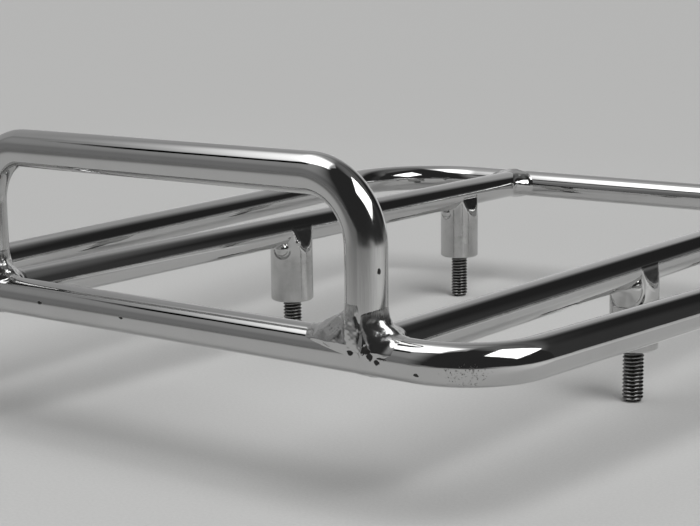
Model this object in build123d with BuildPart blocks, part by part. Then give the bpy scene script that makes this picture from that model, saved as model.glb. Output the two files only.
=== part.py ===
import os
from math import radians, tan

from build123d import *

os.makedirs("parts", exist_ok=True)

# Plated luggage rack bent and welded from round tube, standing on four studs.
# +Y points to the front of the machine, +X to its right, +Z up, in millimetres.
# The origin is the centre of the stud pattern, on the plane of the post feet.

# Tube stock
tube_od = 12.7
tube_wall = 1.65

# Deck loop, between tube centrelines
rear_width = 244.0
rack_length = 343.0
flare_angle = 5.25
rear_bend = 25.4
front_bend = 46.0

# Deck bars, and the hoop that stands over their rear ends
bar_spacing = 162.5
hoop_rise = 51.0
hoop_bend = 20.0
cope_relief = 2.0

# Posts and studs
rear_overhang = 162.5
stud_spacing = 128.0
post_od = 18.0
post_drop = 30.0
post_saddle = 1.0
post_chamfer = 0.6
stud_od = 7.94
stud_reach = 20.0
stud_seat = 14.0
stud_shank_od = 7.0
stud_chamfer = 1.1

# Weld metal: reach along the tube, rise along the branch, bulge on the flanks
hoop_weld_reach = 7.5
hoop_weld_rise = 7.0
hoop_weld_bulge = 1.7
hoop_weld_tail = 3.0
bar_weld_reach = 3.6
bar_weld_rise = 4.2
bar_weld_bulge = 1.0
post_weld_reach = 2.6
post_weld_rise = 5.5
post_weld_bulge = 0.25
weld_root = 0.6

# Worked out from the sizes above
tube_r = tube_od / 2
bore_r = tube_r - tube_wall
post_r = post_od / 2
stud_r = stud_od / 2
shank_r = stud_shank_od / 2
deck_z = post_drop
hoop_z = deck_z + hoop_rise
post_rear_y = -stud_spacing / 2
post_front_y = stud_spacing / 2
rear_y = post_rear_y - rear_overhang
front_y = rear_y + rack_length
rear_x = rear_width / 2
front_x = rear_x + rack_length * tan(radians(flare_angle))
bar_x = bar_spacing / 2

sides = {"left": -bar_x, "right": bar_x}
post_rows = {"rear": post_rear_y, "front": post_front_y}
# Each rail is named with its place and the way that the bars leave it
bar_ends = {"rear": (rear_y, 1), "front": (front_y, -1)}


def loop_rod(radius):
    # A round rod along half of the loop's centreline, mirrored to the other half
    with BuildPart() as rod:
        with BuildLine() as half_path:
            FilletPolyline(
                (0, rear_y, deck_z),
                (rear_x, rear_y, deck_z),
                (front_x, front_y, deck_z),
                (0, front_y, deck_z),
                radius=(rear_bend, front_bend),
            )
        with BuildSketch(Plane(half_path.line @ 0, z_dir=half_path.line % 0)):
            Circle(radius)
        sweep()
        mirror(about=Plane.YZ)
    return rod.part


def hoop_rod(radius, foot_z):
    # An upside-down U with its feet at foot_z
    with BuildPart() as rod:
        with BuildLine() as arch:
            FilletPolyline(
                (-bar_x, rear_y, foot_z),
                (-bar_x, rear_y, hoop_z),
                (bar_x, rear_y, hoop_z),
                (bar_x, rear_y, foot_z),
                radius=hoop_bend,
            )
        with BuildSketch(Plane(arch.line @ 0, z_dir=arch.line % 0)):
            Circle(radius)
        sweep()
    return rod.part


def bar_rod(radius, x):
    with BuildPart() as rod:
        with BuildSketch(Plane((x, rear_y + cope_relief, deck_z), z_dir=(0, 1, 0))):
            Circle(radius)
        extrude(amount=rack_length - 2 * cope_relief)
    return rod.part


def tee_levels(branch_r, reach, rise, bulge, tail):
    # Height above the tube's centreline, half sizes along and across the tube,
    # and a shift across it: from inside the branch down into the tube
    return (
        (tube_r + rise, branch_r - weld_root, branch_r - weld_root, 0),
        (tube_r + 0.45 * rise, branch_r + 0.24 * reach, branch_r + 0.5 * bulge, 0.2 * tail),
        (tube_r, branch_r + 0.6 * reach, branch_r + bulge, 0.5 * tail),
        (0.5 * tube_r, branch_r + reach, tube_r + bulge, 0.5 * tail),
        (-0.5 * tube_r, branch_r + 0.7 * reach, 0.7 * tube_r, 0),
    )


def weld_blob(joint, levels):
    # Weld metal lofted through ellipses, with the tube along the plane's x
    with BuildPart() as blob:
        for height, along, across, shift in levels:
            with BuildSketch(joint.offset(height)):
                with Locations((0, shift)):
                    Ellipse(along, across + abs(shift))
        loft()
    return blob.part


loop_envelope = loop_rod(tube_r)
hoop_envelope = hoop_rod(tube_r, deck_z + cope_relief)
bar_envelopes = {side: bar_rod(tube_r, x) for side, x in sides.items()}

# Deck loop
with BuildPart() as perimeter_loop:
    add(loop_envelope)
    add(loop_rod(bore_r), mode=Mode.SUBTRACT)
perimeter_loop.part.label = "perimeter_loop"
export_step(perimeter_loop.part, "parts/perimeter_loop.step")

# Deck bars, coped to the rails
for side, x in sides.items():
    with BuildPart() as deck_bar:
        add(bar_envelopes[side])
        add(bar_rod(bore_r, x), mode=Mode.SUBTRACT)
        add(loop_envelope, mode=Mode.SUBTRACT)
    deck_bar.part.label = f"deck_bar_{side}"
    export_step(deck_bar.part, f"parts/deck_bar_{side}.step")

# Rear hoop, its feet coped to the rear rail and the bar ends
with BuildPart() as rear_hoop:
    add(hoop_envelope)
    add(hoop_rod(bore_r, deck_z + cope_relief), mode=Mode.SUBTRACT)
    add(loop_envelope, mode=Mode.SUBTRACT)
    for side in sides:
        add(bar_envelopes[side], mode=Mode.SUBTRACT)
rear_hoop.part.label = "rear_hoop"
export_step(rear_hoop.part, "parts/rear_hoop.step")

# Posts: the head is coped to the bar, and a blind hole in the foot takes the stud's
# shank, which has the thread's pitch diameter
for side, x in sides.items():
    for row, y in post_rows.items():
        with BuildPart() as post:
            with BuildSketch(Plane((x, y, 0))):
                Circle(post_r)
            extrude(amount=deck_z - tube_r + post_saddle)
            chamfer(post.edges().group_by(Axis.Z)[0], post_chamfer)
            with BuildSketch(Plane((x, y, 0))):
                Circle(shank_r)
            extrude(amount=stud_seat, mode=Mode.SUBTRACT)
            add(bar_envelopes[side], mode=Mode.SUBTRACT)
        post.part.label = f"post_{row}_{side}"
        export_step(post.part, f"parts/post_{row}_{side}.step")

        with BuildPart() as stud:
            with BuildSketch(Plane((x, y, -stud_reach))):
                Circle(stud_r)
            extrude(amount=stud_reach)
            chamfer(stud.edges().group_by(Axis.Z)[0], stud_chamfer)
            with BuildSketch(Plane((x, y, 0))):
                Circle(shank_r)
            extrude(amount=stud_seat)
        stud.part.label = f"stud_{row}_{side}"
        export_step(stud.part, f"parts/stud_{row}_{side}.step")

        # Weld round the post's head, sloping up to the flanks of the bar
        joint = Plane((x, y, deck_z), x_dir=(0, 1, 0), z_dir=(0, 0, -1))
        with BuildPart() as post_weld:
            add(weld_blob(joint, tee_levels(post_r, post_weld_reach, post_weld_rise, post_weld_bulge, 0)))
            add(bar_envelopes[side], mode=Mode.SUBTRACT)
            add(post.part, mode=Mode.SUBTRACT)
        post_weld.part.label = f"post_weld_{row}_{side}"
        export_step(post_weld.part, f"parts/post_weld_{row}_{side}.step")

# Welds where the bars meet the rails
bar_welds = {}
for side, x in sides.items():
    for end, (y, away) in bar_ends.items():
        joint = Plane((x, y, deck_z), x_dir=(1, 0, 0), z_dir=(0, away, 0))
        with BuildPart() as bar_weld:
            add(weld_blob(joint, tee_levels(tube_r, bar_weld_reach, bar_weld_rise, bar_weld_bulge, 0)))
            add(loop_envelope, mode=Mode.SUBTRACT)
            add(bar_envelopes[side], mode=Mode.SUBTRACT)
            add(hoop_envelope, mode=Mode.SUBTRACT)
        bar_welds[end, side] = bar_weld.part
        bar_weld.part.label = f"bar_weld_{end}_{side}"
        export_step(bar_weld.part, f"parts/bar_weld_{end}_{side}.step")

# Heavier welds at the feet of the hoop, each with a tail along the bar
for side, x in sides.items():
    joint = Plane((x, rear_y, deck_z), x_dir=(1, 0, 0), z_dir=(0, 0, 1))
    hoop_levels = tee_levels(tube_r, hoop_weld_reach, hoop_weld_rise, hoop_weld_bulge, hoop_weld_tail)
    with BuildPart() as hoop_weld:
        add(weld_blob(joint, hoop_levels))
        add(loop_envelope, mode=Mode.SUBTRACT)
        add(bar_envelopes[side], mode=Mode.SUBTRACT)
        add(hoop_envelope, mode=Mode.SUBTRACT)
        add(bar_welds["rear", side], mode=Mode.SUBTRACT)
    hoop_weld.part.label = f"hoop_weld_{side}"
    export_step(hoop_weld.part, f"parts/hoop_weld_{side}.step")
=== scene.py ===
import math

import bpy
import numpy as np
from mathutils import Matrix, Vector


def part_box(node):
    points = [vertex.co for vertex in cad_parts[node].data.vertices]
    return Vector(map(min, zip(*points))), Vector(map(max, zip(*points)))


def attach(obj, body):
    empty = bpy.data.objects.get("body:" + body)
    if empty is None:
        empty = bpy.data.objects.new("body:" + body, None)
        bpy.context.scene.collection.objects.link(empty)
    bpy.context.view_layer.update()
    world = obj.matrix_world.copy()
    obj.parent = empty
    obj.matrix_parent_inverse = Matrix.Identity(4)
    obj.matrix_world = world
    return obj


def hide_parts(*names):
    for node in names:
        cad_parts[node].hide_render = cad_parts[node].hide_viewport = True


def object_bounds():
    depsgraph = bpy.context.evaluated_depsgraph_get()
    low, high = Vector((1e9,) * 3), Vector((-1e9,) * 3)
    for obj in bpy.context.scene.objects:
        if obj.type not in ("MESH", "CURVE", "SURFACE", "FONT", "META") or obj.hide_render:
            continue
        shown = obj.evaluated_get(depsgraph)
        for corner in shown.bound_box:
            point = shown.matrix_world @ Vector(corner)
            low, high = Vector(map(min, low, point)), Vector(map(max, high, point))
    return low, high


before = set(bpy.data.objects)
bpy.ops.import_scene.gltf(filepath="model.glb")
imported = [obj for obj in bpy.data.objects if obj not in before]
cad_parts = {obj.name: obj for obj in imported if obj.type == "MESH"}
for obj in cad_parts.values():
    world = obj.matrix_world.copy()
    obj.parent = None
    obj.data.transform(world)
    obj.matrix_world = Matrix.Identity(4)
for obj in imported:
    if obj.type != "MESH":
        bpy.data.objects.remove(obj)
cadBox = [list(corner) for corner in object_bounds()]
print("frame loaded,", len(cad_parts), "nodes")


# Places and radii read from the frame, in metres
def span(node):
    low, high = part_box(node)
    return np.array(low), np.array(high)


# An upright turned node's lowest height, middle and radius
def turnedPlace(node):
    low, high = span(node)
    return low[2], (low + high) / 2, (high[0] - low[0]) / 2


loopLow, loopHigh = span("perimeter_loop")
barLow, barHigh = span("deck_bar_right")
tubeRadius = (loopHigh[2] - loopLow[2]) / 2
deckZ = (loopHigh[2] + loopLow[2]) / 2
rearY = loopLow[1] + tubeRadius
frontY = loopHigh[1] - tubeRadius
barX = (barLow[0] + barHigh[0]) / 2
hoopZ = span("rear_hoop")[1][2] - tubeRadius
sideSigns = {"left": -1, "right": 1}
rows = ("rear", "front")
fullTurn = 2 * math.pi


# Mesh helpers

# A grid of points becomes quads; a closed direction wraps its last row to the first
def gridMesh(name, points, closeRows, closeColumns, uRow, vColumn):
    rowCount, columnCount = points.shape[:2]
    faceRows = rowCount if closeRows else rowCount - 1
    faceColumns = columnCount if closeColumns else columnCount - 1
    r, c = np.meshgrid(np.arange(faceRows), np.arange(faceColumns), indexing="ij")
    cornerRow = np.stack([r, r, r + 1, r + 1], -1).reshape(-1)
    cornerColumn = np.stack([c, c + 1, c + 1, c], -1).reshape(-1)
    loops = (cornerRow % rowCount) * columnCount + cornerColumn % columnCount
    mesh = bpy.data.meshes.new(name)
    mesh.vertices.add(rowCount * columnCount)
    mesh.vertices.foreach_set("co", points.reshape(-1).astype(np.float32))
    mesh.loops.add(len(loops))
    mesh.loops.foreach_set("vertex_index", loops.astype(np.int32))
    mesh.polygons.add(len(loops) // 4)
    mesh.polygons.foreach_set("loop_start", np.arange(0, len(loops), 4, dtype=np.int32))
    mesh.polygons.foreach_set("use_smooth", np.ones(len(loops) // 4, bool))
    wrap = mesh.uv_layers.new(name="wrap")
    uv = np.stack([uRow[cornerRow], vColumn[cornerColumn]], -1)
    wrap.data.foreach_set("uv", uv.reshape(-1).astype(np.float32))
    mesh.update(calc_edges=True)
    mesh.validate()
    return mesh


# Angles round a ring, and the length round it at each column's edge
def ringAngles(segments):
    return np.linspace(0, fullTurn, segments, endpoint=False)


def ringLengths(radius, segments):
    return np.linspace(0, fullTurn * radius, segments + 1)


def addObject(name, mesh, material):
    mesh.materials.append(material)
    item = bpy.data.objects.new(name, mesh)
    bpy.context.scene.collection.objects.link(item)
    return item


def addPiece(name, mesh, material, node):
    piece = addObject(name, mesh, material)
    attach(piece, "root")
    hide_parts(node)


pathSteps = {"leastInArc": 8, "leastInRun": 2, "runCoarser": 4}


# Straight runs joined by arcs: each corner is trimmed by bend / tan(half angle) and
# rounded about a centre on its bisector; runs are divided more coarsely than arcs
def bentPath(corners, bends, step, closed):
    corners = np.array(corners, float)
    count = len(corners)
    runs = []
    for i in range(count):
        here = corners[i]
        if not closed and i in (0, count - 1):
            runs.append(here[None])
            continue
        back = corners[i - 1] - here
        ahead = corners[(i + 1) % count] - here
        back /= np.linalg.norm(back)
        ahead /= np.linalg.norm(ahead)
        half = math.acos(back @ ahead) / 2
        middle = (back + ahead) / np.linalg.norm(back + ahead)
        centre = here + middle * bends[i] / math.sin(half)
        turn = math.pi - 2 * half
        arcPoints = max(pathSteps["leastInArc"], int(turn * bends[i] / step))
        angle = np.linspace(-turn / 2, turn / 2, arcPoints)[:, None]
        across = (ahead - back) / np.linalg.norm(ahead - back)
        runs.append(centre + bends[i] * (np.sin(angle) * across - np.cos(angle) * middle))
    if closed:
        runs.append(runs[0][:1])
    path = [runs[0]]
    for before, after in zip(runs[:-1], runs[1:]):
        gap = np.linalg.norm(after[0] - before[-1])
        divisions = max(pathSteps["leastInRun"], int(gap / (pathSteps["runCoarser"] * step)))
        share = np.linspace(0, 1, divisions + 1)[1:-1, None]
        path.append(before[-1] + share * (after[0] - before[-1]))
        path.append(after)
    points = np.concatenate(path)
    return points[:-1] if closed else points


# A circle carried along a flat path: centre + radius * (cos a * side + sin a * up),
# where up is the path plane's normal and side is tangent x up; open ends close on the axis
def tubeMesh(name, path, up, closed, segments):
    ahead = np.roll(path, -1, 0) - np.roll(path, 1, 0)
    if not closed:
        ahead[0] = path[1] - path[0]
        ahead[-1] = path[-1] - path[-2]
    ahead /= np.linalg.norm(ahead, axis=1)[:, None]
    up = np.array(up, float)
    side = np.cross(ahead, up)
    angle = ringAngles(segments)[None, :, None]
    points = path[:, None] + tubeRadius * (np.cos(angle) * side[:, None] + np.sin(angle) * up)
    stepLength = np.linalg.norm(np.diff(path, axis=0, append=path[:1]), axis=1)
    length = np.concatenate([[0], np.cumsum(stepLength)])
    if not closed:
        first = np.repeat(path[:1, None], segments, 1)
        last = np.repeat(path[-1:, None], segments, 1)
        points = np.concatenate([first, points, last])
        length = np.concatenate([[0], length[:-1], length[-2:-1]])
    return gridMesh(name, points, closed, True, length, ringLengths(tubeRadius, segments))


# A profile of radius and height turned about an upright axis
def turnedMesh(name, axis, radius, height, segments):
    angle = ringAngles(segments)
    radius = np.broadcast_to(np.asarray(radius), (len(height), segments))
    x = axis[0] + radius * np.cos(angle)
    y = axis[1] + radius * np.sin(angle)
    z = np.broadcast_to(height[:, None], radius.shape)
    points = np.stack([x, y, z], -1)
    return gridMesh(name, points, False, True, height, ringLengths(np.max(radius), segments))


# Shader helpers: those that add nodes take the node tree first
def newMaterial(name):
    material = bpy.data.materials.new(name)
    material.use_nodes = True
    material.node_tree.nodes.clear()
    return material, material.node_tree


# A socket is linked, and a plain value is set
def feed(tree, socket, value):
    if isinstance(value, bpy.types.NodeSocket):
        tree.links.new(value, socket)
    else:
        socket.default_value = value


# Sockets are named with _ for a space
def addNode(tree, kind, settings=None, **sockets):
    node = tree.nodes.new("ShaderNode" + kind)
    for name, value in (settings or {}).items():
        setattr(node, name, value)
    for label, value in sockets.items():
        feed(tree, node.inputs[label.replace("_", " ")], value)
    return node


def mathNode(tree, operation, *values, clamp=False):
    node = addNode(tree, "Math", {"operation": operation, "use_clamp": clamp})
    for socket, value in zip(node.inputs, values):
        feed(tree, socket, value)
    return node.outputs[0]


def vectorNode(tree, operation, *vectors):
    node = addNode(tree, "VectorMath", {"operation": operation})
    for socket, vector in zip(node.inputs, vectors):
        feed(tree, socket, vector)
    return node.outputs["Value" if operation in ("LENGTH", "DISTANCE") else "Vector"]


def product(tree, first, *others):
    for other in others:
        first = mathNode(tree, "MULTIPLY", first, other)
    return first


def mixFloat(tree, share, low, high):
    return addNode(tree, "MapRange", Value=share, To_Min=low, To_Max=high).outputs["Result"]


def smoothRamp(tree, value, low, high):
    settings = {"interpolation_type": "SMOOTHSTEP"}
    return addNode(tree, "MapRange", settings, Value=value, From_Min=low, From_Max=high).outputs["Result"]


def mixColor(tree, share, low, high, blend="MIX"):
    node = addNode(tree, "Mix", {"data_type": "RGBA", "blend_type": blend})
    for index, value in ((0, share), (6, low), (7, high)):
        feed(tree, node.inputs[index], (*value, 1) if isinstance(value, tuple) else value)
    return node.outputs[2]


def mixShaders(tree, share, first, second):
    node = addNode(tree, "MixShader", Fac=share)
    tree.links.new(first.outputs[0], node.inputs[1])
    tree.links.new(second.outputs[0], node.inputs[2])
    return node


def showShader(tree, shader):
    addNode(tree, "OutputMaterial", Surface=shader.outputs[0])


def objectCoords(tree):
    return addNode(tree, "TexCoord").outputs["Object"]


# The piece's own map: lengths along and round it, in metres
def wrapCoords(tree):
    return addNode(tree, "UVMap", {"uv_map": "wrap"}).outputs["UV"]


def splitVector(tree, vector):
    node = addNode(tree, "SeparateXYZ", Vector=vector)
    return node.outputs["X"], node.outputs["Y"], node.outputs["Z"]


# Degrees from +Y towards +X
def azimuthNode(tree, x, y):
    return mathNode(tree, "DEGREES", mathNode(tree, "ARCTAN2", x, y))


def newGroup(name, inputs, outputs):
    group = bpy.data.node_groups.new(name, "ShaderNodeTree")
    for label, kind in inputs.items():
        group.interface.new_socket(name=label, in_out="INPUT", socket_type="NodeSocket" + kind)
    for label in outputs:
        group.interface.new_socket(name=label, in_out="OUTPUT", socket_type="NodeSocketFloat")
    start = group.nodes.new("NodeGroupInput")
    end = group.nodes.new("NodeGroupOutput")
    return group, [start.outputs[label] for label in inputs], end.inputs


# One between low and high, falling smoothly to nought over the feather at each end
def makeWindowGroup():
    labels = {"Value": "Float", "Low": "Float", "High": "Float", "Feather": "Float"}
    group, (value, low, high, feather), outputs = newGroup("smoothWindow", labels, ["Mask"])
    ramps = []
    for edge in (low, high):
        start = mathNode(group, "SUBTRACT", edge, feather)
        ramps.append(smoothRamp(group, value, start, mathNode(group, "ADD", edge, feather)))
    feed(group, outputs["Mask"], mathNode(group, "SUBTRACT", *ramps, clamp=True))
    return group


windowGroup = makeWindowGroup()
farAway = 99.0  # further out than anything that a mask with one edge measures


def windowMask(tree, value, low, high, feather):
    settings = {"node_tree": windowGroup}
    return addNode(tree, "Group", settings, Value=value, Low=low, High=high, Feather=feather).outputs["Mask"]


def aboveMask(tree, value, edge, feather):
    return windowMask(tree, value, edge, farAway, feather)


def belowMask(tree, value, edge, feather):
    return windowMask(tree, value, -farAway, edge, feather)


# Studio: soft suns for the light and its shadows, and a room for the plate to mirror
# directions in degrees: azimuth from +Y towards +X, then elevation
studio = {
    "keySun": {"azimuth": 112, "elevation": 54, "strength": 2.4, "spread": 42},
    "fillSun": {"azimuth": -125, "elevation": 60, "strength": 0.35, "spread": 45},
    "ambient": 0.375,
    "backgroundGrey": 0.465,
    "roomGrey": 0.035,
}
# each patch of the room: azimuth low and high, elevation low and high, feather, brightness
roomPatches = {
    "backdrop": (-105, -18, -10, 75, 14, 0.44),
    "highBackdrop": (-95, -35, 42, 70, 14, 0.66),
    "leftWall": (-158, -100, -10, 48, 16, 0.255),
    "leftWallTop": (-160, -95, 14, 62, 16, 0.38),
    "upperLeft": (-160, -20, 62, 95, 9, 0.5),
    "upperFront": (-25, 60, 50, 80, 12, 0.20),
}


def direction(azimuth, elevation):
    a, e = math.radians(azimuth), math.radians(elevation)
    return np.array([math.sin(a) * math.cos(e), math.cos(a) * math.cos(e), math.sin(e)])


# The matrix of an object whose own axes are x, y and z
def placed(x, y, z, place):
    return Matrix(np.vstack([np.column_stack([x, y, z, place]), [0, 0, 0, 1]]).tolist())


def makeSun(name):
    values = studio[name]
    lamp = bpy.data.lights.new(name, "SUN")
    lamp.energy = values["strength"]
    lamp.angle = math.radians(values["spread"])
    sun = bpy.data.objects.new(name, lamp)
    z = direction(values["azimuth"], values["elevation"])
    x = np.cross((0, 0, 1), z)
    x /= np.linalg.norm(x)
    sun.matrix_world = placed(x, np.cross(z, x), z, z)
    sun.visible_glossy = False  # the plate mirrors the softboxes instead
    bpy.context.scene.collection.objects.link(sun)


# The plate sees the room, the camera a plain grey and all else an even light
def makeWorld():
    world = bpy.data.worlds.new("studioRoom")
    bpy.context.scene.world = world
    world.use_nodes = True
    tree = world.node_tree
    tree.nodes.clear()
    x, y, z = splitVector(tree, addNode(tree, "TexCoord").outputs["Generated"])
    azimuth = azimuthNode(tree, x, y)
    elevation = mathNode(tree, "DEGREES", mathNode(tree, "ARCSINE", z))
    level = studio["roomGrey"]
    for azLow, azHigh, elLow, elHigh, feather, brightness in roomPatches.values():
        across = windowMask(tree, azimuth, azLow, azHigh, feather)
        patch = product(tree, across, windowMask(tree, elevation, elLow, elHigh, feather), brightness)
        level = mathNode(tree, "MAXIMUM", level, patch)
    room = addNode(tree, "Background", Strength=level)
    plain = addNode(tree, "Background", Strength=studio["ambient"])
    pale = addNode(tree, "Background", Strength=studio["backgroundGrey"])
    rays = addNode(tree, "LightPath").outputs
    metal = mixShaders(tree, rays["Is Glossy Ray"], plain, room)
    seen = mixShaders(tree, rays["Is Camera Ray"], metal, pale)
    addNode(tree, "OutputWorld", Surface=seen.outputs[0])


cardLines = 9  # grid lines along each side of a card


# A card that only the plate sees: it glows at a level and is clear where its cover is nought
def startCard(name):
    material, tree = newMaterial(name)
    u, v, _ = splitVector(tree, wrapCoords(tree))
    return material, tree, u, v


def finishCard(material, tree, level, cover, points, uEdge, vEdge):
    glow = addNode(tree, "Emission", Strength=level)
    showShader(tree, mixShaders(tree, cover, addNode(tree, "BsdfTransparent"), glow))
    mesh = gridMesh(material.name, points, False, False, uEdge, vEdge)
    card = addObject(material.name, mesh, material)
    card.visible_camera = False
    card.visible_diffuse = False
    card.visible_shadow = False


# Softboxes, seen in the plate only; the suns stand for the light they give. Across each of them u and v
# run from -1 to 1. Each edge has its place and how softly it ends. Past the cut's start the lower edge
# rises by the cut times how far u is past it, with a black flap under it; the card reaches down to its foot.
softboxes = {
    "right": {
        "centre": (0.392, -0.1265, 0.475), "half": (0.205, 0.179),
        "across": (0.373, -0.873, -0.315), "upright": (-0.522, -0.478, 0.706),
        "uLow": (-1.0, 0.02), "uHigh": (1.0, 0.02), "vLow": (-1.12, 0.03), "vHigh": (0.88, 0.03),
        "cut": 0, "flap": 0, "brightness": 3.0,
    },
    "left": {
        "centre": (-0.400, -0.456, 1.237), "half": (0.446, 0.481),
        "across": (-0.594, 0.064, -0.802), "upright": (0.056, 0.998, 0.038),
        "uLow": (-1.15, 0.3), "uHigh": (1.1, 0.6), "vLow": (-0.82, 0.10), "vHigh": (1.28, 0.6),
        "cut": 0.6, "flap": 0.45, "brightness": 2.7,
    },
}
softboxCut = {"start": 0.4, "flapAcross": (0.62, 1.45, 0.06), "flapSoftness": 0.05, "foot": -1.5}


def makeSoftbox(name, values):
    material, tree, u, v = startCard(f"softbox_{name}")
    past = mathNode(tree, "MAXIMUM", mathNode(tree, "SUBTRACT", u, softboxCut["start"]), 0)
    lift = mathNode(tree, "SUBTRACT", v, product(tree, past, values["cut"]))
    lit = product(tree, aboveMask(tree, u, *values["uLow"]), belowMask(tree, u, *values["uHigh"]),
                  aboveMask(tree, lift, *values["vLow"]), belowMask(tree, v, *values["vHigh"]))
    edge = values["vLow"][0]
    under = windowMask(tree, lift, edge - values["flap"], edge, softboxCut["flapSoftness"])
    flap = product(tree, windowMask(tree, u, *softboxCut["flapAcross"]), under)
    uEdge = np.linspace(values["uLow"][0] - values["uLow"][1], sum(values["uHigh"]), cardLines)
    vEdge = np.linspace(softboxCut["foot"], sum(values["vHigh"]), cardLines)
    s, t = np.meshgrid(uEdge, vEdge, indexing="ij")
    across = np.array(values["across"]) * values["half"][0]
    upright = np.array(values["upright"]) * values["half"][1]
    points = np.array(values["centre"]) + s[..., None] * across + t[..., None] * upright
    finishCard(material, tree, product(tree, lit, values["brightness"]), mathNode(tree, "MAXIMUM", lit, flap),
               points, uEdge, vEdge)


# A glowing card, no lamp, standing for the wall beyond the rack's front, seen in the plate only. Across it x
# and
# z run in metres: a pale sheet to the left whose soft edge leans away with height, a dim glow overhead and
# another low down where the table meets the wall. Each edge, end or top is a place and its feather, but the
# sheet's edge and its feather are each a start and what that gains with height above the sheet's foot.
frontWall = {
    "y": 0.60, "x": (-1.0, 0.95), "z": (-0.02, 1.25), "leftEnd": (-0.85, 0.14), "topEnd": (1.1, 0.14),
    "sheet": 0.36, "sheetEdge": (0.06, -0.8), "sheetFeather": (0.04, 0.7), "sheetFoot": 0.30,
    "sheetGlow": 0.16, "sheetGlowTop": (0.32, 0.14),
    "dark": 0.021, "darkRight": 0.024, "darkRightEdge": (0.48, 0.14),
    "overhead": 0.105, "overheadEdge": (0.76, 0.20),
    "low": 0.24, "lowTop": (0.085, 0.085), "lowRight": (0.68, 0.03),
}


def makeFrontWall(values):
    material, tree, x, z = startCard("frontWall")
    up = mathNode(tree, "MAXIMUM", mathNode(tree, "SUBTRACT", z, values["sheetFoot"]), 0)

    def leaning(start, gain):
        return mathNode(tree, "ADD", product(tree, up, gain), start)

    side = mathNode(tree, "SUBTRACT", x, leaning(*values["sheetEdge"]))
    side = mathNode(tree, "DIVIDE", side, leaning(*values["sheetFeather"]))
    glow = product(tree, belowMask(tree, z, *values["sheetGlowTop"]), values["sheetGlow"])
    sheet = product(tree, belowMask(tree, side, 0, 1), mathNode(tree, "ADD", glow, values["sheet"]))
    right = product(tree, aboveMask(tree, x, *values["darkRightEdge"]), values["darkRight"])
    overhead = product(tree, aboveMask(tree, z, *values["overheadEdge"]), values["overhead"])
    low = product(tree, belowMask(tree, z, *values["lowTop"]), belowMask(tree, x, *values["lowRight"]),
                  values["low"])
    level = values["dark"]
    for light in (right, sheet, overhead, low):
        level = mathNode(tree, "ADD", light, level)
    cover = product(tree, aboveMask(tree, x, *values["leftEnd"]), belowMask(tree, z, *values["topEnd"]))
    xEdge = np.linspace(*values["x"], cardLines)
    zEdge = np.linspace(*values["z"], cardLines)
    across, upright = np.meshgrid(xEdge, zEdge, indexing="ij")
    points = np.stack([across, 0 * across + values["y"], upright], -1)
    finishCard(material, tree, level, cover, points, xEdge, zEdge)


# Floor of pale paper with a faint grain, and a painted pool of light in its colour on the camera's side of
# the rack
floorPaper = {
    "color": (0.47, 0.47, 0.465), "roughness": 0.9, "specular": 0.1,
    "grainScale": 900, "grainDetail": 3, "grain": (0.92, 1.08),
    "poolCentre": (0.15, -0.20, 0), "poolEdge": (0.33, 0.25), "poolGain": 1.10,
    "rings": (0, 0.3, 1, 4, 14), "segments": 96,
}
# As mirrored in the plate its colour is painted as a table top: painted brighter under the key light, with a
# ring of painted shade in the rack's shade, and painted darker past a soft edge all round. Azimuths are low,
# high and feather. Each edge is a distance and its feather, the azimuths it covers and the share of the level
# that is left beyond it.
floorMirror = {
    "level": 0.90,
    "litAzimuth": (70, 128, 30), "litGain": 0.55, "shadeRing": (0.125, 0.30, 0.03),
    "edges": [((0.95, 0.35), (-12, 110, 14), 0.07), ((0.78, 0.26), (122, 200, 16), 0.10),
              ((0.58, 0.16), (-200, -100, 12), 0.42)],
}


def makeFloor(values):
    material, tree = newMaterial("floorPaper")
    coords = objectCoords(tree)
    x, y, _ = splitVector(tree, coords)
    azimuth = azimuthNode(tree, x, y)
    away = vectorNode(tree, "LENGTH", coords)
    # painted light and shade in the floor's colour, seen in reflections only
    shade = windowMask(tree, away, *floorMirror["shadeRing"])
    lit = product(tree, windowMask(tree, azimuth, *floorMirror["litAzimuth"]), floorMirror["litGain"],
                  mixFloat(tree, shade, 1, 0))
    paintedMirrorShading = mathNode(tree, "ADD", lit, floorMirror["level"])
    for edge, azimuths, left in floorMirror["edges"]:
        beyond = product(tree, aboveMask(tree, away, *edge), windowMask(tree, azimuth, *azimuths))
        paintedMirrorShading = product(tree, paintedMirrorShading, mixFloat(tree, beyond, 1, left))
    mirrored = addNode(tree, "Mix")
    for index, value in ((0, addNode(tree, "LightPath").outputs["Is Glossy Ray"]), (2, 1), (3, paintedMirrorShading)):
        feed(tree, mirrored.inputs[index], value)
    grain = addNode(tree, "TexNoise", Vector=coords, Scale=values["grainScale"], Detail=values["grainDetail"])
    speckle = mixFloat(tree, grain.outputs["Fac"], *values["grain"])
    # painted light: the paper's colour is raised within the pool
    pool = belowMask(tree, vectorNode(tree, "DISTANCE", coords, values["poolCentre"]), *values["poolEdge"])
    level = product(tree, mirrored.outputs[0], speckle, mixFloat(tree, pool, 1, values["poolGain"]))
    paper = mixColor(tree, 1, values["color"], level, blend="MULTIPLY")
    showShader(tree, addNode(tree, "BsdfPrincipled", Base_Color=paper, Roughness=values["roughness"],
                             Specular_IOR_Level=values["specular"]))
    radius = np.array(values["rings"], float)
    height = np.full(len(radius), cadBox[0][2])
    mesh = turnedMesh("floor", (0, 0), radius[:, None], height, values["segments"])
    addObject("floor", mesh, material)


makeSun("keySun")
makeSun("fillSun")
makeWorld()
makeFloor(floorPaper)
makeFrontWall(frontWall)
for name, values in softboxes.items():
    makeSoftbox(name, values)
bpy.context.scene.view_settings.view_transform = "Standard"
print("studio ready")


# Camera at the photograph's viewpoint: yaw from +Y, pitch down and a small roll, in radians
cameraPose = {
    "place": (0.35877, -0.59379, 0.1398),
    "yaw": -0.6571,
    "pitch": 0.1792,
    "roll": 0.0126,
    "lens": 84.495,
    "sensor": 36,
    "nearest": 0.01,
}


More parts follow.
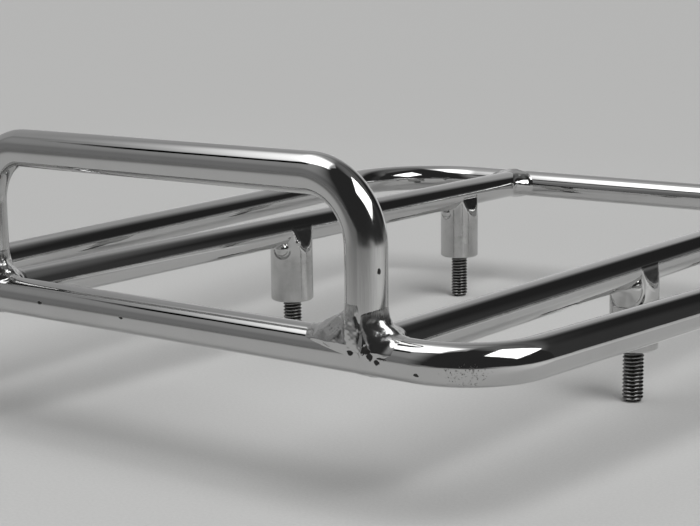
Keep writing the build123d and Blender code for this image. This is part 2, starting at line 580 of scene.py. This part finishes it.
def makeCamera(pose):
    yaw, pitch, roll = pose["yaw"], pose["pitch"], pose["roll"]
    ahead = np.array([math.sin(yaw) * math.cos(pitch), math.cos(yaw) * math.cos(pitch), -math.sin(pitch)])
    level = np.array([math.cos(yaw), -math.sin(yaw), 0])
    down = np.cross(ahead, level)
    right = math.cos(roll) * level + math.sin(roll) * down
    up = math.sin(roll) * level - math.cos(roll) * down
    lens = bpy.data.cameras.new("camera")
    lens.lens = pose["lens"]
    lens.sensor_width = pose["sensor"]
    lens.clip_start = pose["nearest"]
    camera = bpy.data.objects.new("camera", lens)
    camera.matrix_world = placed(right, up, -ahead, pose["place"])
    bpy.context.scene.collection.objects.link(camera)
    bpy.context.scene.camera = camera


makeCamera(cameraPose)


# Finishes

# Haze is a soft cloudy mask, streak a mask of fine lines along a tube, specks a mask of scattered pin pits
wearPattern = {
    "hazeDetail": 5, "hazeRoughness": 0.62, "hazeRange": (0.42, 0.72),
    "streakScale": (110, 2600, 1), "streakDetail": 3,
    "speckDetail": 2, "speckRange": (0.56, 0.66),
}


def makeWearGroup(values):
    labels = {"Vector": "Vector", "Wrap": "Vector", "Haze Scale": "Float", "Speck Scale": "Float"}
    group, inputs, outputs = newGroup("plateWear", labels, ["Haze", "Streak", "Specks"])
    vector, wrap, hazeScale, speckScale = inputs
    cloud = addNode(group, "TexNoise", Vector=vector, Scale=hazeScale, Detail=values["hazeDetail"],
                    Roughness=values["hazeRoughness"])
    feed(group, outputs["Haze"], smoothRamp(group, cloud.outputs["Fac"], *values["hazeRange"]))
    stretched = vectorNode(group, "MULTIPLY", wrap, values["streakScale"])
    lines = addNode(group, "TexNoise", Vector=stretched, Scale=1, Detail=values["streakDetail"])
    feed(group, outputs["Streak"], lines.outputs["Fac"])
    fine = addNode(group, "TexNoise", Vector=vector, Scale=speckScale, Detail=values["speckDetail"])
    feed(group, outputs["Specks"], smoothRamp(group, fine.outputs["Fac"], *values["speckRange"]))
    return group


# A ragged dark spot: distance from a centre as a share of its reach along the axes, roughened by noise
flakePattern = {"noiseScale": 520, "noiseDetail": 3, "swing": 2.6, "edge": (1.05, 0.95)}


def makeFlakeGroup(values):
    labels = {"Vector": "Vector", "Centre": "Vector", "Reach": "Vector", "Ragged": "Float"}
    group, (vector, centre, reach, ragged), outputs = newGroup("flakeSpot", labels, ["Mask"])
    share = vectorNode(group, "DIVIDE", vectorNode(group, "SUBTRACT", vector, centre), reach)
    noise = addNode(group, "TexNoise", Vector=vector, Scale=values["noiseScale"],
                    Detail=values["noiseDetail"])
    swing = mathNode(group, "SUBTRACT", noise.outputs["Fac"], 0.5)
    swing = product(group, swing, values["swing"], ragged)
    rough = mathNode(group, "ADD", vectorNode(group, "LENGTH", share), swing)
    outer, inner = values["edge"]
    edge = addNode(group, "MapRange", Value=rough, From_Min=outer, From_Max=inner)
    feed(group, outputs["Mask"], edge.outputs["Result"])
    return group


wearGroup = makeWearGroup(wearPattern)
flakeGroup = makeFlakeGroup(flakePattern)


def plateWear(tree, coords, values):
    return addNode(tree, "Group", {"node_tree": wearGroup}, Vector=coords, Wrap=wrapCoords(tree),
                   Haze_Scale=values["hazeScale"], Speck_Scale=values["speckScale"]).outputs


def flakeSpot(tree, coords, centre, reach, ragged):
    return addNode(tree, "Group", {"node_tree": flakeGroup}, Vector=coords, Centre=centre, Reach=reach,
                   Ragged=ragged).outputs["Mask"]


# Bright plate: clean mirror with light haze, polishing lines, scuffed legs, a patch of pin pits and flakes
chromeFinish = {
    "color": (0.62, 0.62, 0.618), "hazeColor": (0.56, 0.56, 0.555), "roughness": (0.035, 0.10),
    "hazeScale": 38.0, "speckScale": 1500.0, "hazeShare": 0.5, "lineHeight": 0.000004,
    "scuffZ": (0.040, 0.070, 0.009), "scuffStreak": (0.1, 1.4), "scuffRoughness": 0.12,
    "patchCentre": (0.1157, -0.2276, 0.0284), "patchReach": (0.0062, 0.006, 0.0034), "patchRagged": 0.6,
    "pitColor": (0.16, 0.158, 0.155), "pitShare": 0.75,
    "flakeColor": (0.012, 0.011, 0.010), "flakeRagged": 0.95, "flakeDepth": 0.00012, "spoiledRoughness": 0.5,
}
# over weld metal the plate takes less polish
weldFinish = {**chromeFinish, "roughness": (0.14, 0.24)}
# each flake: centre, then its reach along X, Y and Z
flakes = {
    "weldLeft": ((0.0799, -0.2340, 0.0314), (0.0013, 0.0040, 0.0008)),
    "weldMiddle": ((0.0862, -0.2330, 0.0327), (0.0013, 0.0040, 0.0014)),
    "weldMiddleLow": ((0.0872, -0.2330, 0.0309), (0.0010, 0.0040, 0.0012)),
    "weldRight": ((0.0893, -0.2330, 0.0296), (0.0010, 0.0040, 0.0008)),
    "weldScratch": ((0.0907, -0.2328, 0.0308), (0.0018, 0.0040, 0.0003)),
    "cornerSpot": ((0.1023, -0.2322, 0.0276), (0.0009, 0.0040, 0.0006)),
    "legSpot": ((0.0873, -0.2285, 0.0547), (0.0030, 0.0006, 0.0008)),
    "railFar": ((-0.0501, -0.2328, 0.0306), (0.0011, 0.0030, 0.0005)),
    "railMiddle": ((-0.0122, -0.2328, 0.0301), (0.0012, 0.0030, 0.0004)),
}


def makeChrome(name, values):
    material, tree = newMaterial(name)
    coords = objectCoords(tree)
    wear = plateWear(tree, coords, values)
    z = splitVector(tree, coords)[2]
    streak = mixFloat(tree, wear["Streak"], *values["scuffStreak"])
    scuff = mathNode(tree, "MULTIPLY", windowMask(tree, z, *values["scuffZ"]), streak, clamp=True)
    patch = flakeSpot(tree, coords, values["patchCentre"], values["patchReach"], values["patchRagged"])
    pitted = product(tree, patch, wear["Specks"], values["pitShare"])
    flake = 0.0
    for centre, reach in flakes.values():
        spot = flakeSpot(tree, coords, centre, reach, values["flakeRagged"])
        flake = mathNode(tree, "MAXIMUM", flake, spot)
    dull = mathNode(tree, "MAXIMUM", product(tree, wear["Haze"], values["hazeShare"]), scuff)
    color = mixColor(tree, dull, values["color"], values["hazeColor"])
    color = mixColor(tree, pitted, color, values["pitColor"])
    color = mixColor(tree, flake, color, values["flakeColor"])
    rough = mixFloat(tree, dull, *values["roughness"])
    rough = mathNode(tree, "ADD", rough, product(tree, scuff, values["scuffRoughness"]))
    spoiled = mathNode(tree, "MAXIMUM", flake, pitted)
    rough = mathNode(tree, "ADD", rough, product(tree, spoiled, values["spoiledRoughness"]))
    height = product(tree, wear["Streak"], values["lineHeight"])
    height = mathNode(tree, "SUBTRACT", height, product(tree, flake, values["flakeDepth"]))
    bump = addNode(tree, "Bump", Distance=1, Height=height)
    showShader(tree, addNode(tree, "BsdfPrincipled", Base_Color=color, Metallic=mixFloat(tree, flake, 1, 0),
                             Roughness=rough, Normal=bump.outputs["Normal"]))
    return material


# Post plate: the same metal left hazy, with cloudy patches and faint upright streaks, bright round its head
postFinish = {
    "color": (0.62, 0.62, 0.615), "hazeColor": (0.52, 0.52, 0.515), "roughness": (0.05, 0.26),
    "hazeScale": 130.0, "speckScale": 420.0, "hazeShare": 0.5, "streakShare": (0.15, 0.75),
    "hazeHeight": 0.00003, "brightAbove": (0.020, 0.0025),
}


def makePostFinish(name, values):
    material, tree = newMaterial(name)
    coords = objectCoords(tree)
    wear = plateWear(tree, coords, values)
    z = splitVector(tree, coords)[2]
    streak = mixFloat(tree, wear["Streak"], *values["streakShare"])
    dull = mathNode(tree, "ADD", product(tree, wear["Haze"], values["hazeShare"]), streak, clamp=True)
    dull = product(tree, dull, belowMask(tree, z, *values["brightAbove"]))
    color = mixColor(tree, dull, values["color"], values["hazeColor"])
    bump = addNode(tree, "Bump", Distance=1, Height=product(tree, wear["Haze"], values["hazeHeight"]))
    rough = mixFloat(tree, dull, *values["roughness"])
    showShader(tree, addNode(tree, "BsdfPrincipled", Base_Color=color, Metallic=1, Roughness=rough,
                             Normal=bump.outputs["Normal"]))
    return material


# Stud steel: dark thread with painted shade, near black in the roots and lighter on the crests, broken by
# random haze
studFinish = {
    "crestColor": (0.36, 0.358, 0.353), "shadedRootColor": (0.035, 0.034, 0.033), "roughness": (0.05, 0.14),
    "metallic": 0.95, "hazeScale": 300.0, "speckScale": 1500.0, "hazeShare": 0.5,
}


def makeStudFinish(name, values):
    material, tree = newMaterial(name)
    wear = plateWear(tree, objectCoords(tree), values)
    crest = addNode(tree, "Attribute", {"attribute_name": "crest"}).outputs["Fac"]
    # painted shade: the thread's roots take the near-black colour and the crests the lighter one
    crestShare = mathNode(tree, "SUBTRACT", crest, product(tree, wear["Haze"], values["hazeShare"]), clamp=True)
    color = mixColor(tree, crestShare, values["shadedRootColor"], values["crestColor"])
    rough = mixFloat(tree, wear["Haze"], *values["roughness"])
    showShader(tree, addNode(tree, "BsdfPrincipled", Base_Color=color, Metallic=values["metallic"],
                             Roughness=rough))
    return material


chromePlate = makeChrome("chromePlate", chromeFinish)
weldPlate = makeChrome("weldPlate", weldFinish)
satinPost = makePostFinish("satinPost", postFinish)
studSteel = makeStudFinish("studSteel", studFinish)
print("finishes ready")


# Tubes: corners, bend at each and the normal of their plane
def addTube(name, node, corners, bends, up, closed, values):
    path = bentPath(corners, bends, values["step"], closed)
    mesh = tubeMesh(name, path, up, closed, values["segments"])
    addPiece(name, mesh, chromePlate, node)


# Deck loop, wider to the front by its flare
loopTube = {
    "rearHalf": 0.122, "flare": math.radians(5.25), "rearBend": 0.0254, "frontBend": 0.046,
    "step": 0.0008, "segments": 72,
}
rearHalf = loopTube["rearHalf"]
frontHalf = rearHalf + (frontY - rearY) * math.tan(loopTube["flare"])
loopCorners = [(rearHalf, rearY, deckZ), (frontHalf, frontY, deckZ),
               (-frontHalf, frontY, deckZ), (-rearHalf, rearY, deckZ)]
loopBends = [loopTube[bend] for bend in ("rearBend", "frontBend", "frontBend", "rearBend")]
addTube("loopTube", "perimeter_loop", loopCorners, loopBends, (0, 0, 1), True, loopTube)

# Rear hoop, its feet run down into the rail
hoopTube = {"bend": 0.020, "footRise": 0.002, "step": 0.0006, "segments": 72}
footZ = deckZ + hoopTube["footRise"]
hoopCorners = [(-barX, rearY, footZ), (-barX, rearY, hoopZ), (barX, rearY, hoopZ), (barX, rearY, footZ)]
hoopBends = [0, hoopTube["bend"], hoopTube["bend"], 0]
addTube("hoopTube", "rear_hoop", hoopCorners, hoopBends, (0, 1, 0), False, hoopTube)

# Deck bars, their ends just inside the rails
barTube = {"inset": 0.002, "step": 0.002, "segments": 64}
for side, sign in sideSigns.items():
    barEnds = [(sign * barX, y, deckZ) for y in (rearY + barTube["inset"], frontY - barTube["inset"])]
    addTube(f"barTube_{side}", f"deck_bar_{side}", barEnds, [0, 0], (0, 0, 1), False, barTube)
print("tubes ready")


# A share that rises from start over a width, held between the least and 1
def ramp(value, start, width, least=0):
    return np.clip((value - start) / width, least, 1)


# Posts: a turned barrel with a chamfered foot, cut level under the weld
postTurning = {
    "chamfer": 0.0006, "cut": 0.0135, "wallRows": 14, "segments": 120, "sharpFrom": math.radians(30),
}


def makePost(row, side):
    foot, axis, radius = turnedPlace(f"post_{row}_{side}")
    c, cut, wallRows = postTurning["chamfer"], deckZ - postTurning["cut"], postTurning["wallRows"]
    profile = np.array([0, radius - c, *np.full(wallRows, radius), 0])
    height = np.array([foot, foot, *np.linspace(foot + c, cut, wallRows), cut])
    mesh = turnedMesh(f"post_{row}_{side}", axis, profile[:, None], height, postTurning["segments"])
    mesh.set_sharp_from_angle(angle=postTurning["sharpFrom"])
    addPiece(f"postBarrel_{row}_{side}", mesh, satinPost, f"post_{row}_{side}")


# Studs: radius rises and falls along the helix as a cosine of height / pitch - angle / turn, a rolled thread,
# and is drawn in at the tip; the top is seated in the post
studThread = {
    "pitch": 0.001411, "depth": 0.00058, "tip": 0.0012, "tipDraw": 0.0011, "seat": 0.001,
    "samplesPerPitch": 12, "segments": 48,
}


def makeStud(row, side):
    foot, axis, major = turnedPlace(f"stud_{row}_{side}")
    pitch, segments = studThread["pitch"], studThread["segments"]
    height = np.arange(foot, studThread["seat"], pitch / studThread["samplesPerPitch"])
    turns = np.linspace(0, 1, segments, endpoint=False)
    crest = 0.5 + 0.5 * np.cos(fullTurn * (height[:, None] / pitch - turns))
    taper = ramp(height[:, None], foot, studThread["tip"])
    radius = major - studThread["depth"] * (1 - crest) - (1 - taper) * studThread["tipDraw"]
    radius = np.concatenate([np.zeros((1, segments)), radius, np.zeros((1, segments))])
    height = np.concatenate([height[:1], height, height[-1:]])
    mesh = turnedMesh(f"stud_{row}_{side}", axis, radius, height, segments)
    # the crest share drives the painted shade: near black in the thread's roots, lighter on the crests
    crestShare = np.concatenate([crest[:1], crest, crest[-1:]]).reshape(-1).astype(np.float32)
    mesh.attributes.new("crest", "FLOAT", "POINT").data.foreach_set("value", crestShare)
    addPiece(f"studThread_{row}_{side}", mesh, studSteel, f"stud_{row}_{side}")


for side in sideSigns:
    for row in rows:
        makePost(row, side)
        makeStud(row, side)
print("posts and studs ready")


# Welds: rays from inside a joint run out to the smooth union of its distances. Where that stands no
# prouder than the tubes the skin dips just under them, so that its rim feathers out.
weldSkin = {
    "halvings": 26, "nudge": 0.00005, "sinkOver": 0.00005, "sinkBy": 0.00012, "proudOver": 0.0006,
    "fineShare": 0.15, "fineDivide": 3,
}


rodLead = 1  # metres by which a rod that passes through a joint starts before it


# Distance to a round rod that starts at its foot and runs on along its axis
def rodDistance(points, foot, along, radius):
    along = np.array(along, float)
    offset = points - np.array(foot)
    offset = offset - np.maximum(offset @ along, 0)[..., None] * along
    return np.linalg.norm(offset, axis=-1) - radius


# Distance to an upright barrel with a flat top
def barrelDistance(points, axis, top, radius):
    sideways = np.hypot(points[..., 0] - axis[0], points[..., 1] - axis[1]) - radius
    upward = points[..., 2] - top
    outside = np.hypot(np.maximum(sideways, 0), np.maximum(upward, 0))
    return outside + np.minimum(np.maximum(sideways, upward), 0)


# About the distance to an egg: its share of the radii, less one, times the least of them
def blobDistance(points, centre, radii):
    share = (points - np.array(centre)) / np.array(radii)
    return (np.linalg.norm(share, axis=-1) - 1) * min(radii)


# The flat between a foot on each surface: first / firstFoot + second / secondFoot = 1
def bevelDistance(first, second, firstFoot, secondFoot):
    return (first / firstFoot + second / secondFoot - 1) / np.hypot(1 / firstFoot, 1 / secondFoot)


# The lesser distance, less a rounding where the two are within the blend of each other
def smoothUnion(first, second, blend):
    overlap = np.maximum(blend - np.abs(first - second), 0) / blend
    return np.minimum(first, second) - overlap * overlap * blend / 4


# The greater distance, rounded the same way
def smoothCut(first, second, blend):
    return -smoothUnion(-first, -second, blend)


# Waves of many directions summed into a smooth lumpy field of about unit height
lumpWaves = {"count": 14, "spread": (0.6, 1.6), "divide": 3.7}


def lumps(points, wavelength, seed):
    source = np.random.default_rng(seed)
    total = np.zeros(points.shape[:-1])
    for _ in range(lumpWaves["count"]):
        way = source.normal(size=3)
        way *= fullTurn / wavelength * source.uniform(*lumpWaves["spread"]) / np.linalg.norm(way)
        total += np.sin(points @ way + source.uniform(0, fullTurn))
    return total / lumpWaves["divide"]


# Where the rays leave the union, found by halving
def surfaceAlong(origin, ray, reach, union):
    near = np.zeros(ray.shape[:2])
    far = np.full(ray.shape[:2], reach)
    for _ in range(weldSkin["halvings"]):
        half = (near + far) / 2
        inside = union(origin + half[..., None] * ray) < 0
        near = np.where(inside, half, near)
        far = np.where(inside, far, half)
    return origin + near[..., None] * ray


# Lumps raise the skin where it stands proud of the clean surfaces; it sinks where it lies on the bare ones
def dressSkin(points, union, bare, clean, values, seed):
    nudges = weldSkin["nudge"] * np.eye(3)
    slope = np.stack([union(points + nudge) - union(points - nudge) for nudge in nudges], -1)
    slope /= np.linalg.norm(slope, axis=-1)[..., None] + 1e-12
    sunk = 1 - ramp(bare(points), 0, weldSkin["sinkOver"])
    proud = ramp(clean(points), 0, weldSkin["proudOver"])
    fine = lumps(points, values["lumpSize"] / weldSkin["fineDivide"], seed + 1)
    height = lumps(points, values["lumpSize"], seed) + weldSkin["fineShare"] * fine
    offset = proud * values["lump"] * height - sunk * weldSkin["sinkBy"]
    return points + offset[..., None] * slope


# Rays all round a centre, by polar angle and turn, with rows from the bottom up so that faces point outwards
def weldMesh(name, centre, union, bare, values, seed):
    polar = np.linspace(0, math.pi, values["rows"])[:, None]
    around = ringAngles(values["columns"])[None]
    flat = np.sin(polar)
    ray = np.stack([flat * np.cos(around), flat * np.sin(around), np.cos(polar) + 0 * around], -1)
    points = dressSkin(surfaceAlong(centre, ray, values["reach"], union), union, bare, bare, values, seed)
    length = polar[::-1, 0] * tubeRadius
    return gridMesh(name, points[::-1], False, True, length, ringLengths(tubeRadius, values["columns"]))


# Bar to rail: one fillet all round that fades out behind the rail's centreline; at the front each corner is
# filled to a flat, widest at mid height. Each fade is a start, a width and a least share.
barWeld = {
    "blend": 0.0045, "fade": (-0.0005, 0.003, 0.03),
    "bevel": 0.0060, "bevelHeight": 0.0068, "bevelBlend": 0.0012, "bevelFade": (0, 0.003, 0.001),
    "leastSquare": 0.001,
    "centreInset": 0.004, "reach": 0.0142, "lump": 0.00005, "lumpSize": 0.004, "rows": 110, "columns": 180,
}


def makeBarWeld(end, side, sign, seed):
    y, inward = (rearY, 1) if end == "rear" else (frontY, -1)

    def parts(points):
        rail = rodDistance(points, (sign * barX - rodLead, y, deckZ), (1, 0, 0), tubeRadius)
        return rail, rodDistance(points, (sign * barX, y, deckZ), (0, inward, 0), tubeRadius)

    def bare(points):
        return np.minimum(*parts(points))

    def union(points):
        depth = inward * (points[..., 1] - y)
        skin = smoothUnion(*parts(points), barWeld["blend"] * ramp(depth, *barWeld["fade"]))
        if end == "rear":
            return skin
        level = (points[..., 2] - deckZ) / barWeld["bevelHeight"]
        square = np.maximum(1 - level * level, barWeld["leastSquare"])
        width = ramp(depth, *barWeld["bevelFade"]) * np.sqrt(square)
        foot = barWeld["bevel"] * width
        return smoothUnion(skin, bevelDistance(*parts(points), foot, foot), barWeld["bevelBlend"] * width)

    name = f"barWeld_{end}_{side}"
    centre = np.array([sign * barX, y + inward * barWeld["centreInset"], deckZ])
    mesh = weldMesh(name, centre, union, bare, barWeld, seed)
    addPiece(name, mesh, chromePlate, f"bar_weld_{end}_{side}")


# Hoop to rail: a bevelled web along the rail on the inner side and a round fillet on the outer side, with
# a low collar between them in front and a crease beside it. Places are from the joint, x outwards.
hoopWeld = {
    "right": {"rise": 0.0064, "innerReach": 0.0115, "lump": 0.00013, "lumpSize": 0.005},
    "left": {"rise": 0.0052, "innerReach": 0.0050, "lump": 0.00016, "lumpSize": 0.0036},
    "outerReach": 0.0085, "faceShare": 0.2,
    "tubeBlend": 0.0006, "webBlend": 0.0016, "webFade": (-0.0005, 0.004, 0.03),
    "collar": {"proud": 0.0009, "foot": 0.0016, "shoulder": 0.0078, "top": 0.0140, "outer": 0.0016,
               "footBlend": 0.001, "outerBlend": 0.0006, "blend": 0.0004},
    "fillet": 0.0088, "filletFade": (-0.0028, 0.005, 0.03), "filletFrom": (0.0004, 0.0035),
    "barBlend": 0.006, "barFade": (-0.0005, 0.003, 0.03),
    "crease": {"start": (0.0012, -0.0066, 0.0120), "end": (0.0050, -0.0072, 0.0040),
               "width": 0.0006, "depth": 0.0005},
    "centreRise": 0.0035, "reach": 0.0205, "rows": 190, "columns": 320,
}


def makeHoopWeld(side, sign, seed):
    values = {**hoopWeld, **hoopWeld[side]}
    joint = np.array([sign * barX, rearY, deckZ])
    collar, crease = values["collar"], values["crease"]
    start = np.array(crease["start"])
    run = np.array(crease["end"]) - start

    def parts(points):
        rail = rodDistance(points, joint - (rodLead, 0, 0), (1, 0, 0), tubeRadius)
        leg = rodDistance(points, joint, (0, 0, 1), tubeRadius)
        bar = rodDistance(points, joint, (0, 1, 0), tubeRadius)
        return rail, leg, bar

    def bare(points):
        return np.min(parts(points), 0)

    # the web is fullest where the leg faces along the rail
    def web(local, rail, leg):
        x, y, z = local[..., 0], local[..., 1], local[..., 2]
        facing = x ** 2 / (x ** 2 + y ** 2 + 1e-9)
        share = values["faceShare"] + (1 - values["faceShare"]) * facing
        share = share * ramp(z, *values["webFade"])
        along = np.where(x > 0, values["outerReach"], values["innerReach"])
        bevel = bevelDistance(leg, rail, along * share, values["rise"] * share)
        return smoothUnion(smoothUnion(rail, leg, values["tubeBlend"]), bevel, values["webBlend"] * share)

    # the collar: proud of the leg, sloping in from its shoulder to its top, cut off at its foot and outer end
    def band(local, leg):
        slope = np.clip((collar["top"] - local[..., 2]) / (collar["top"] - collar["shoulder"]), -1, 1)
        skin = smoothCut(leg - collar["proud"] * slope, collar["foot"] - local[..., 2], collar["footBlend"])
        return smoothCut(skin, local[..., 0] - collar["outer"], collar["outerBlend"])

    def union(points):
        rail, leg, bar = parts(points)
        local = (points - joint) * (sign, 1, 1)
        skin = smoothUnion(web(local, rail, leg), band(local, leg), collar["blend"])
        fillet = smoothUnion(rail, leg, values["fillet"] * ramp(local[..., 2], *values["filletFade"]))
        outer = ramp(local[..., 0], *values["filletFrom"])
        skin = skin + (fillet - skin) * outer * outer * (3 - 2 * outer)
        skin = smoothUnion(skin, bar, values["barBlend"] * ramp(local[..., 1], *values["barFade"]))
        share = np.clip((local - start) @ run / (run @ run), 0, 1)
        gap = np.linalg.norm(local - start - share[..., None] * run, axis=-1)
        return skin + crease["depth"] * np.exp(-((gap / crease["width"]) ** 2))

    name = f"hoopWeld_{side}"
    mesh = weldMesh(name, joint + (0, 0, values["centreRise"]), union, bare, values, seed)
    addPiece(name, mesh, weldPlate, f"hoop_weld_{side}")


# Post to bar: the barrel carried up round the bar, sloping in on its left and right, with puddles at the
# rear; its radius at each height and angle is found along a level ray from the post's axis
postWeld = {
    "top": 0.0018, "blend": 0.0005, "slopeShare": 0.96, "slopeBlend": 0.0008,
    "moatAt": 0.0003, "moatWidth": 0.0004, "puddleBlend": 0.0002, "over": 0.001,
    "sharpFrom": math.radians(60),
    "reach": 0.0150, "lump": 0.000014, "lumpSize": 0.005, "rows": 84, "columns": 200,
}
# each post: where its slope starts below the joint and how steep it is, then its puddles by place, radii and
# the depth of the moat round them
postBeads = {
    "rear_right": (0.0062, 0.36, [((0.0003, -0.0070, -0.0064), (0.0062, 0.0034, 0.0074), 0.0004)]),
    "rear_left": (0.0080, 0.29, [((0.0015, -0.0082, -0.0072), (0.0031, 0.0024, 0.0031), 0.0003),
                                 ((0.0074, -0.0045, -0.0046), (0.0010, 0.0010, 0.0010), 0)]),
    "front_left": (0.0090, 0.34, [((-0.0020, -0.0078, -0.0080), (0.0024, 0.0022, 0.0024), 0.0002)]),
    "front_right": (0.0070, 0.32, [((0.0008, -0.0076, -0.0066), (0.0046, 0.0028, 0.0060), 0.0003)]),
}


def makePostWeld(row, side, sign, seed):
    _, axis, radius = turnedPlace(f"post_{row}_{side}")
    joint = np.array([sign * barX, axis[1], deckZ])
    foot, steepness, puddles = postBeads[f"{row}_{side}"]

    def bar(points):
        return rodDistance(points, joint - (0, rodLead, 0), (0, 1, 0), tubeRadius)

    def barrel(points):
        return barrelDistance(points, axis, deckZ + postWeld["top"], radius)

    def union(points):
        local = points - joint
        slope = np.abs(local[..., 0]) + steepness * (local[..., 2] + foot) - radius
        collar = smoothCut(barrel(points), slope * postWeld["slopeShare"], postWeld["slopeBlend"])
        skin = smoothUnion(collar, bar(points), postWeld["blend"])
        for place, radii, moat in puddles:
            puddle = blobDistance(local, place, radii)
            dip = moat * np.exp(-(((puddle - postWeld["moatAt"]) / postWeld["moatWidth"]) ** 2))
            skin = smoothUnion(skin + dip, puddle, postWeld["puddleBlend"])
        return skin

    def clean(points):
        return np.minimum(np.abs(barrel(points)), bar(points))

    angle = ringAngles(postWeld["columns"])[None]
    top = deckZ + postWeld["top"] + postWeld["over"]
    level = np.linspace(deckZ - postTurning["cut"], top, postWeld["rows"])[:, None]
    ray = np.stack([np.cos(angle) + 0 * level, np.sin(angle) + 0 * level, 0 * angle + 0 * level], -1)
    origin = 0 * ray + np.array([axis[0], axis[1], 0])
    origin[..., 2] = level
    skin = surfaceAlong(origin, ray, postWeld["reach"], union)
    skin = dressSkin(skin, union, bar, clean, postWeld, seed)
    skin[0] = origin[0] + radius * ray[0]
    points = np.concatenate([origin[:1], skin, origin[-1:]])
    height = np.concatenate([level[:1, 0], level[:, 0], level[-1:, 0]])
    name = f"postWeld_{row}_{side}"
    mesh = gridMesh(name, points, False, True, height, ringLengths(radius, postWeld["columns"]))
    mesh.set_sharp_from_angle(angle=postWeld["sharpFrom"])
    addPiece(name, mesh, satinPost, f"post_weld_{row}_{side}")


# seeds of the lumps: a first one for each kind of weld, and how far on the next side starts
weldSeeds = {"hoop": 3, "bar": 5, "post": 9, "side": 20}
for sideIndex, (side, sign) in enumerate(sideSigns.items()):
    seed = weldSeeds["side"] * sideIndex
    makeHoopWeld(side, sign, seed + weldSeeds["hoop"])
    for rowIndex, row in enumerate(rows):
        makeBarWeld(row, side, sign, seed + rowIndex + weldSeeds["bar"])
        makePostWeld(row, side, sign, seed + rowIndex + weldSeeds["post"])
print("welds ready")
